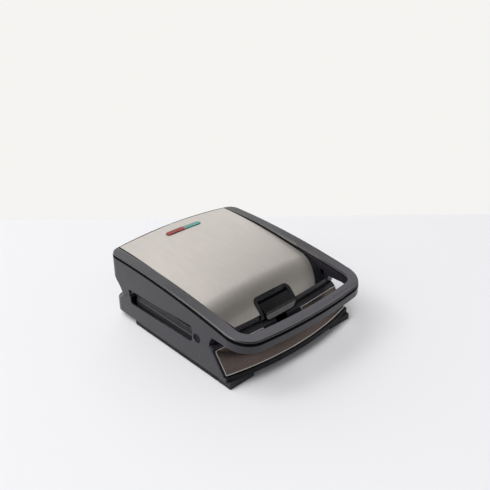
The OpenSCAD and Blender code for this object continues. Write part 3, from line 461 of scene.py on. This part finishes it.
# %% [markdown]
# ## Coatings, ceramic and lamps
# The cooking plates are die-cast and sprayed with a dark non-stick coat, which is fine-grained, a
# little glossy and polished at the ridges. The heating elements carry a heat tint: blue-brown patches
# on dull steel. The lamp covers are clear coloured plastic with a small neon lamp below each.

# %% Coatings, ceramic and lamps
non_stick = moulded_plastic(
    "non_stick", screen_colour(44, 42, 42), screen_colour(92, 90, 88), 0.34, 1000.0, 0.4, dust=0.02
)
pressed_skirt = moulded_plastic(
    "pressed_skirt", screen_colour(62, 60, 63), screen_colour(110, 108, 110), 0.4, dust=0.02
)
glazed_ceramic = moulded_plastic(
    "glazed_ceramic", screen_colour(222, 218, 208), screen_colour(236, 234, 228), 0.45
)


def heat_tinted_steel():
    material = worked_metal(
        "element_steel", screen_colour(104, 98, 94), screen_colour(140, 134, 128), 0.45, 1500.0, 0.2
    )
    tree = material.node_tree
    shader = shader_of(material)
    before = shader.inputs["Base Color"].links[0].from_socket
    tint = add_node(tree, "ShaderNodeTexNoise", Scale=38.0, Detail=3.0)
    link(tree, object_place(tree), tint.inputs["Vector"])
    tinted = mix_colours(tree, remap(tree, tint.outputs["Fac"], 0.45, 0.7), before, screen_colour(72, 66, 92))
    link(tree, tinted, shader.inputs["Base Color"])
    return material


acrylic_ior = 1.49


def lamp_plastic(name, colour, deep, transmission):
    material, tree, shader = new_material(name)
    place = object_place(tree)
    grain = place_group(tree, moulded_grain, place, Fineness=500.0)
    link(tree, mix_colours(tree, grain.outputs["Tone"], colour, deep), shader.inputs["Base Color"])
    link(tree, remap(tree, grain.outputs["Tone"], 0.0, 1.0, 0.12, 0.2), shader.inputs["Roughness"])
    shader.inputs["Transmission Weight"].default_value = transmission
    shader.inputs["IOR"].default_value = acrylic_ior
    return material


element_steel = heat_tinted_steel()
red_lamp = lamp_plastic("red_lamp", screen_colour(188, 38, 30), screen_colour(150, 24, 20), 0.3)
green_lamp = lamp_plastic("green_lamp", screen_colour(92, 168, 158), screen_colour(96, 168, 158), 0.3)
lamp_glass = lamp_plastic("lamp_glass", screen_colour(236, 226, 214), screen_colour(226, 210, 190), 0.8)

finishes = {
    "side_plastic": side_grey, "trim_plastic": trim_grey, "black_plastic": deep_black,
    "gloss_black": gloss_black, "brushed_steel": cover_steel, "bare_steel": bare_steel,
    "cast_metal": cast_metal, "non_stick": non_stick, "element_steel": element_steel,
    "reflector_sheet": reflector_sheet, "foot_rubber": rubber, "ceramic": glazed_ceramic,
    "lamp_glass": lamp_glass, "board": board_green, "red_lens": red_lamp, "green_lens": green_lamp,
}
print("finishes:", len(finishes), "for", len(set(slot_of.values())), "slots")

# %% [markdown]
# ## From CAD node to finished piece
# A CAD mesh has sharp edges, and real ones never are: a soft edge catches a line of light that tells
# the eye what the piece is made of. The CAD object itself stays as it is. `begin_piece` makes a copy
# and merges its loose triangles, `soften` rounds the sharp edges with a bevel modifier that is
# applied, and `finish_piece` smooths the shading, lets the broad faces lead the normals, gives the
# piece its materials, ties it to its body and hides its CAD node.

# %% Piece helpers
def deselect_all():
    bpy.ops.object.select_all(action="DESELECT")


def make_active(piece):
    deselect_all()
    piece.select_set(True)
    bpy.context.view_layer.objects.active = piece


merge_distance = 0.01 * MM
flat_angle = math.radians(0.5)
smooth_angle = math.radians(35)


def begin_piece(node, name):
    source = frame["nodes"][node]
    piece = bpy.data.objects.new(name, source.data.copy())
    bpy.context.scene.collection.objects.link(piece)
    make_active(piece)
    bpy.ops.object.mode_set(mode="EDIT")
    bpy.ops.mesh.select_all(action="SELECT")
    bpy.ops.mesh.remove_doubles(threshold=merge_distance)
    bpy.ops.mesh.dissolve_limited(angle_limit=flat_angle)
    bpy.ops.mesh.select_all(action="DESELECT")
    bpy.ops.object.mode_set(mode="OBJECT")
    return piece


def soften(piece, width, segments=2, angle=30):
    make_active(piece)
    soft = piece.modifiers.new("soft_edges", "BEVEL")
    soft.width = width * MM
    soft.segments = segments
    soft.limit_method = "ANGLE"
    soft.angle_limit = math.radians(angle)
    bpy.ops.object.modifier_apply(modifier=soft.name)


def finish_piece(piece, body, material, node=None, second=None):
    make_active(piece)
    bpy.ops.object.shade_smooth_by_angle(angle=smooth_angle)
    even = piece.modifiers.new("even_normals", "WEIGHTED_NORMAL")
    even.keep_sharp = True
    bpy.ops.object.modifier_apply(modifier=even.name)
    marks = [face.material_index for face in piece.data.polygons]
    piece.data.materials.clear()
    piece.data.materials.append(material)
    if second is not None:
        piece.data.materials.append(second)
        for face, mark in zip(piece.data.polygons, marks):
            face.material_index = mark
    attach(piece, body)
    if node is not None:
        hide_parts(node)
    print(piece.name, len(piece.data.polygons), "faces")


def dress(node, width, segments, material):
    piece = begin_piece(node, node + "_piece")
    if width > 0:
        soften(piece, width, segments)
    finish_piece(piece, body_of[node], material or finishes[slot_of[node]], node)


print("piece helpers ready")

# %% [markdown]
# ## Choosing by place
# An operator in edit mode acts on what is selected. By hand that is a click, and in code it is a test
# on each face's or edge's place and normal. Edges have no normal of their own, so the test gets the
# normals of the faces beside them. `cut_by_planes` cuts new edges where a finish has to change, and
# `mark_faces` gives the faces that pass a test to a piece's second material.

# %% Selection helpers
def select_faces(piece, test):
    mesh = piece.data
    for face in mesh.polygons:
        face.select = bool(test(face.center, face.normal, face))
    for edge in mesh.edges:
        edge.select = False
    for vertex in mesh.vertices:
        vertex.select = False
    make_active(piece)
    bpy.ops.object.mode_set(mode="EDIT")
    bpy.ops.mesh.select_mode(type="FACE")
    return sum(face.select for face in mesh.polygons)


def select_edges(piece, test):
    mesh = piece.data
    beside = {edge.key: [] for edge in mesh.edges}
    for face in mesh.polygons:
        for key in face.edge_keys:
            beside[key].append(face.normal)
        face.select = False
    chosen = 0
    for vertex in mesh.vertices:
        vertex.select = False
    for edge in mesh.edges:
        ends = [mesh.vertices[index].co for index in edge.vertices]
        edge.select = bool(len(beside[edge.key]) == 2 and test(ends, beside[edge.key]))
        chosen += edge.select
    make_active(piece)
    bpy.context.tool_settings.mesh_select_mode = (False, True, False)
    bpy.ops.object.mode_set(mode="EDIT")
    return chosen


def leave_edit_mode():
    bpy.ops.mesh.select_all(action="DESELECT")
    bpy.ops.object.mode_set(mode="OBJECT")


def cut_by_planes(piece, planes):
    make_active(piece)
    bpy.ops.object.mode_set(mode="EDIT")
    for point, across in planes:
        bpy.ops.mesh.select_all(action="SELECT")
        bpy.ops.mesh.bisect(plane_co=point, plane_no=across)
    leave_edit_mode()


def mark_faces(piece, test):
    for face in piece.data.polygons:
        face.material_index = int(test(face))
    return sum(face.material_index for face in piece.data.polygons)


def looks_outward(place, normal):
    return normal.dot(Vector((place[0], place[1], 0))) > 0


print("selection helpers ready")

# %% [markdown]
# ## The handle's band
# The handle is one long arch that starts behind the lamps, runs along both sides and closes in front.
# Its top is a satin band with a soft outer edge where the fingers close round it. The outer edge could
# be rounded with the modifier, but that would round the inner edge as much, so only the edges between
# the top and the outer side are picked, and the bevel operator rounds them more. The top is satin grey,
# and the rounded outer side of the same moulding is painted glossy black: painted shade where the edge
# turns away from the light. Beside the cover the band's inner rim is black as well, a strip that bisect
# cuts off with four planes.

# %% Handle band
band_soft = 1.9 * MM
band_merge = 0.05 * MM
top_reach = 0.6 * MM
top_skin = 0.02 * MM
rim_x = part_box("lid_frame")[1][0] + 1.1 * MM
rim_front_y = -20 * MM
rim_rear_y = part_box("steel_cover")[1][1]


def below_arch(point):
    return arch_apex_z - (point[1] - arch_apex_y) ** 2 / (2 * arch_radius) - point[2]


def on_outer_top(ends, normals):
    level = max(normal[2] for normal in normals)
    wall = min(abs(normal[2]) for normal in normals)
    upright = [normal for normal in normals if abs(normal[2]) < 0.5]
    middle = (ends[0] + ends[1]) / 2
    near_top = below_arch(middle) < top_reach
    return level > 0.8 and wall < 0.5 and near_top and looks_outward(middle, upright[0])


# Faces on the band's rounded outer side get glossy black as painted shade; the inner rim beside the cover
# gets it too.
def band_shade_and_rim(face):
    outward = looks_outward(face.center, face.normal)
    outer_side = outward and face.normal[2] < 0.9 and below_arch(face.center) > top_skin
    rim = abs(face.center[0]) < rim_x and rim_front_y < face.center[1] < rim_rear_y
    return outer_side or rim


band = begin_piece("handle_trim", "handle_band")
picked = select_edges(band, on_outer_top)
bpy.ops.mesh.bevel(offset=band_soft, segments=6, affect="EDGES", clamp_overlap=True)
bpy.ops.mesh.select_all(action="SELECT")
bpy.ops.mesh.remove_doubles(threshold=band_merge)
bpy.ops.mesh.dissolve_degenerate(threshold=band_merge)
leave_edit_mode()
rim_cuts = [
    ((-rim_x, 0, 0), (1, 0, 0)),
    ((rim_x, 0, 0), (1, 0, 0)),
    ((0, rim_front_y, 0), (0, 1, 0)),
    ((0, rim_rear_y, 0), (0, 1, 0)),
]
cut_by_planes(band, rim_cuts)
band_shade_and_rim_faces = mark_faces(band, band_shade_and_rim)
finish_piece(band, "lid", trim_grey, "handle_trim", gloss_black)
print("rounded edges:", picked, "black faces:", band_shade_and_rim_faces)

# %% [markdown]
# ## The bead under the band
# A near-black bead lies in the groove between the band and the side panels, and draws one dark line
# round the whole handle. Its near-black matt colour is partly painted shade, the groove's own shadow.
# Its path is already there: the wall of the groove. So the bead starts as a copy of that wall alone,
# gets its thickness from Solidify and its round front from a bevel.

# %% Handle bead
bead_depth = 1.0 * MM
groove_top = 1.6 * MM
groove_bottom = 4.7 * MM


def in_groove(centre, normal, face):
    depths = [below_arch(bead.data.vertices[index].co) for index in face.vertices]
    outer_wall = abs(normal[2]) < 0.3 and looks_outward(centre, normal)
    return outer_wall and min(depths) > groove_top and max(depths) < groove_bottom


bead = begin_piece("handle_trim", "handle_bead")
groove_faces = select_faces(bead, in_groove)
bpy.ops.mesh.select_all(action="INVERT")
bpy.ops.mesh.delete(type="FACE")
leave_edit_mode()
wall = bead.modifiers.new("wall", "SOLIDIFY")
wall.thickness = bead_depth
wall.offset = 1
bpy.ops.object.modifier_apply(modifier=wall.name)
soften(bead, 0.5, 3, 50)
finish_piece(bead, "lid", deep_shade)
print("groove faces:", groove_faces)

# %% [markdown]
# ## Sheet steel
# The cover is pressed from thin sheet, brushed from front to rear. A black seal wraps its side and
# rear edges: bisect cuts that narrow strip off by four planes, two of them for the rear edge, which
# falls back towards its ends. The panel in front is brushed across. Its corners are rounded by a bevel
# on the short edges through the sheet, and an inset leaves a raised border round it, which is cut
# metal and so paler than the brushed middle.

# %% Sheet steel
panel_corner = 3.0 * MM
border = 1.0 * MM
border_rise = 0.35 * MM
short_edge = 1.5 * MM
seal_width = 1.6 * MM
seal_rear_width = 1.4 * MM
rear_drop = 3.1 * MM
cover_high = Vector(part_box("steel_cover")[1])
seal_x = cover_high[0] - seal_width
seal_y = cover_high[1] - seal_rear_width
rear_fall = rear_drop / cover_high[0]
seal_cuts = [
    ((-seal_x, 0, 0), (1, 0, 0)),
    ((seal_x, 0, 0), (1, 0, 0)),
    ((0, seal_y, 0), (rear_fall, 1, 0)),
    ((0, seal_y, 0), (-rear_fall, 1, 0)),
]


def on_seal(face):
    aside = abs(face.center[0])
    return aside > seal_x or face.center[1] > seal_y - rear_fall * aside


def through_sheet(ends, normals):
    along = ends[1] - ends[0]
    sharp = normals[0].dot(normals[1]) < 0.5
    return abs(along.normalized()[1]) > 0.9 and along.length < short_edge and sharp


def on_front(centre, normal, face):
    return normal[1] < -0.4 and normal[2] > 0.2


cover = begin_piece("steel_cover", "steel_cover_piece")
soften(cover, 0.25, 3)
cut_by_planes(cover, seal_cuts)
seal_faces = mark_faces(cover, on_seal)
finish_piece(cover, "lid", cover_steel, "steel_cover", matt_black)
print("seal faces:", seal_faces)

panel = begin_piece("front_plate", "front_panel")
corners = select_edges(panel, through_sheet)
bpy.ops.mesh.bevel(offset=panel_corner, segments=5, affect="EDGES", clamp_overlap=True)
leave_edit_mode()
front_faces = select_faces(panel, on_front)
bpy.ops.mesh.inset(thickness=border, depth=0, use_boundary=True)
bpy.ops.transform.translate(value=(0, border_rise, 0))
bpy.ops.object.mode_set(mode="OBJECT")
mark_faces(panel, lambda face: not face.select)
finish_piece(panel, "base", panel_steel, "front_plate", cut_edge)
print("corner edges:", corners, "front faces:", front_faces)

# %% [markdown]
# ## Skirts of the cooking plates
# Through the window in each side one looks at the rims of the two plates. Each has a coated skirt that
# hides its heating pan. A skirt starts as a thin box and is cut by bisect at four heights. The two
# narrow strips between the cuts are pushed in as steps, and the broad one between them is pushed out
# as a rib. One function makes all four skirts, two on the base and two on the lid.

# %% Plate skirts
plate_low, plate_high = (Vector(corner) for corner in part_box("lower_plate"))
skirt_t = 0.8 * MM
skirt_height = 14 * MM
skirt_inset = 0.15 * MM
skirt_front = plate_low[1] + 17 * MM
skirt_rear = plate_high[1] - 2 * MM
step_depth = 0.4 * MM
rib_height = 0.8 * MM
low_step = (0.3, 0.36)
high_step = (0.64, 0.7)


def make_skirt(name, side, bottom, top, body, material):
    deselect_all()
    outer = plate_high[0] - skirt_inset
    middle = (side * (outer - skirt_t / 2), (skirt_front + skirt_rear) / 2, (bottom + top) / 2)
    size = (skirt_t, skirt_rear - skirt_front, top - bottom)
    bpy.ops.mesh.primitive_cube_add(size=1, location=middle, scale=size)
    skirt = bpy.context.object
    skirt.name = name
    bpy.ops.object.transform_apply(location=True, rotation=True, scale=True)
    levels = [bottom + share * (top - bottom) for share in low_step + high_step]
    cut_by_planes(skirt, [((0, 0, level), (0, 0, 1)) for level in levels])

    def on_outside(centre, normal, *strips):
        share = (centre[2] - bottom) / (top - bottom)
        return side * normal[0] > 0.9 and any(low < share < high for low, high in strips)

    def in_step(centre, normal, face):
        return on_outside(centre, normal, low_step, high_step)

    def in_rib(centre, normal, face):
        return on_outside(centre, normal, (low_step[1], high_step[0]))

    select_faces(skirt, in_step)
    bpy.ops.transform.translate(value=(-side * step_depth, 0, 0))
    leave_edit_mode()
    select_faces(skirt, in_rib)
    bpy.ops.transform.translate(value=(side * rib_height, 0, 0))
    leave_edit_mode()
    soften(skirt, 0.12)
    finish_piece(skirt, body, material)


lower_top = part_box("lower_reflector")[1][2]
lower_bottom = lower_top - skirt_height
upper_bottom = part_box("upper_reflector")[0][2]
upper_top = upper_bottom + skirt_height
for side, word in ((-1, "left"), (1, "right")):
    make_skirt("lower_skirt_" + word, side, lower_bottom, lower_top, "base", pressed_skirt)
    # The upper skirts are near black: painted shade for the dark top of the window under the lid's edge.
    make_skirt("upper_skirt_" + word, side, upper_bottom, upper_top, "lid", deep_shade)
print("skirts reach from", round(lower_bottom, 4), "to", round(upper_top, 4))

# %% [markdown]
# ## The other pieces
# What remains keeps its CAD shape and differs in how soft its edges are. The rubber feet have the
# roundest edges, then the lenses, the cast pieces and the moulded shells. Small, turned and stamped
# pieces are crisper, and the lid's frame keeps the edges that the CAD gives it.

# %% The other pieces
buttons = ["lower_left_button", "lower_right_button", "upper_left_button", "upper_right_button"]
softness = {
    0.5: ["base_shell", "lid_shell", "bottom_cover"],
    1.5: ["front_feet", "rear_feet"],
    0: ["lid_frame"],
    0.6: ["lower_plate", "upper_plate", "hinge_arms"],
    0.4: ["latch_lever", "latch_bezel", "cord_inlet"],
    0.3: buttons + [
        "hinge_brackets", "hinge_pins", "base_screws", "lid_screws", "thermostat", "terminal_block",
    ],
    0.15: [
        "lower_element", "upper_element", "lower_reflector", "upper_reflector", "lower_plate_clips",
        "upper_plate_clips", "thermal_fuse", "latch_catch", "latch_pin", "latch_spring", "lamp_board",
        "neon_lamps",
    ],
    0.8: ["red_lens", "green_lens"],
}
dull_nodes = {"bottom_cover", *buttons}
wide_edge = 0.55
for width, nodes in softness.items():
    for node in nodes:
        dress(node, width, 4 if width > wide_edge else 2, matt_black if node in dull_nodes else None)

# %% [markdown]
# ## Black front of the base
# The side panels are grey, but the base's front, round the steel panel, is black. It is one
# moulding in the CAD model, so the piece gets a second material, and the faces in front of the side
# panels are given to it.

# %% Black front
base = bpy.data.objects["base_shell_piece"]
front_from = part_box("latch_lever")[1][1] - 18 * MM
side_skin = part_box("base_shell")[1][0] - 0.6 * MM
base.data.materials.append(matt_black)


def in_black_front(face):
    inside = abs(face.center[0]) < side_skin and abs(face.normal[0]) < 0.8
    return inside and face.center[1] < front_from


print("black faces:", mark_faces(base, in_black_front))

# %% [markdown]
# ## Floor and light
# The toaster stands on a plain pale table in a bright room: most light comes from the left and from a
# white wall behind it. A weaker band runs all round the room between horizon and ceiling, and the rest
# is dim. The world gives that by direction, and one large soft lamp, high up at the left rear, gives
# the shadow its direction. Seen straight on, the world is a plain pale colour, which Light Path keeps
# apart from the light that it gives.

# %% Floor
table_pale = screen_colour(240, 240, 243)
table_size = 6.0
table_depth = 0.82
table_reach = 1.196
table_turn = camera_turn + 1.7
ahead = Vector((-math.sin(math.radians(camera_turn)), math.cos(math.radians(camera_turn)), 0))
under_camera = Vector((camera_place[0], camera_place[1], 0))
deselect_all()
table_middle = under_camera + (table_reach - table_depth / 2) * ahead
bpy.ops.mesh.primitive_plane_add(size=table_size, location=table_middle)
floor = bpy.context.object
floor.name = "floor"
floor.scale = (1, table_depth / table_size, 1)
floor.rotation_euler = (0, 0, math.radians(table_turn))
floor_material, _, floor_shader = new_material("table_paint")
floor_shader.inputs["Base Color"].default_value = table_pale
floor_shader.inputs["Roughness"].default_value = 0.7
floor.data.materials.append(floor_material)
print("floor made")

# %% Light
dim_light = 0.04
band_light = 0.4
studio = bpy.data.worlds.new("studio")
bpy.context.scene.world = studio
studio.use_nodes = True
tree = studio.node_tree
tree.nodes.clear()
direction = add_node(tree, "ShaderNodeTexCoord")
axes = add_node(tree, "ShaderNodeSeparateXYZ")
link(tree, direction.outputs["Generated"], axes.inputs["Vector"])
left_side = remap(tree, axes.outputs["X"], -0.1, -0.7)
left_depth = remap(tree, axes.outputs["Y"], -0.9, 0.0, 0.3, 1.0)
from_left = math_node(tree, "MULTIPLY", left_side, left_depth)
from_rear = remap(tree, axes.outputs["Y"], 0.06, 0.6)
above_horizon = remap(tree, axes.outputs["Z"], 0.08, 0.35)
below_ceiling = remap(tree, axes.outputs["Z"], 0.8, 0.62)
all_round = math_node(tree, "MULTIPLY", math_node(tree, "MULTIPLY", above_horizon, below_ceiling), band_light)
walls = math_node(tree, "MAXIMUM", from_left, from_rear)
level = remap(tree, math_node(tree, "MAXIMUM", walls, all_round), 0.0, 1.0, dim_light, 1.0)
room = add_node(tree, "ShaderNodeBackground", Color=screen_colour(255, 255, 255))
link(tree, level, room.inputs["Strength"])
seen = add_node(tree, "ShaderNodeBackground", Color=screen_colour(245, 244, 242), Strength=1.0)
path = add_node(tree, "ShaderNodeLightPath")
choose = add_node(tree, "ShaderNodeMixShader")
link(tree, path.outputs["Is Camera Ray"], choose.inputs["Fac"])
link(tree, room.outputs["Background"], choose.inputs[1])
link(tree, seen.outputs["Background"], choose.inputs[2])
world_output = add_node(tree, "ShaderNodeOutputWorld")
link(tree, choose.outputs["Shader"], world_output.inputs["Surface"])

lamp_place = Vector((-4.2, 2.0, 8.4))
lamp_data = bpy.data.lights.new("soft_box", "AREA")
lamp_data.size = 7.5
lamp_data.energy = 640
lamp = bpy.data.objects.new("soft_box", lamp_data)
bpy.context.scene.collection.objects.link(lamp)
lamp.location = lamp_place
lamp.rotation_euler = (-lamp_place).to_track_quat("-Z", "Y").to_euler()
bpy.context.scene.view_settings.view_transform = "Standard"
print("lamp:", lamp_data.energy, "W at", tuple(round(value, 2) for value in lamp_place))
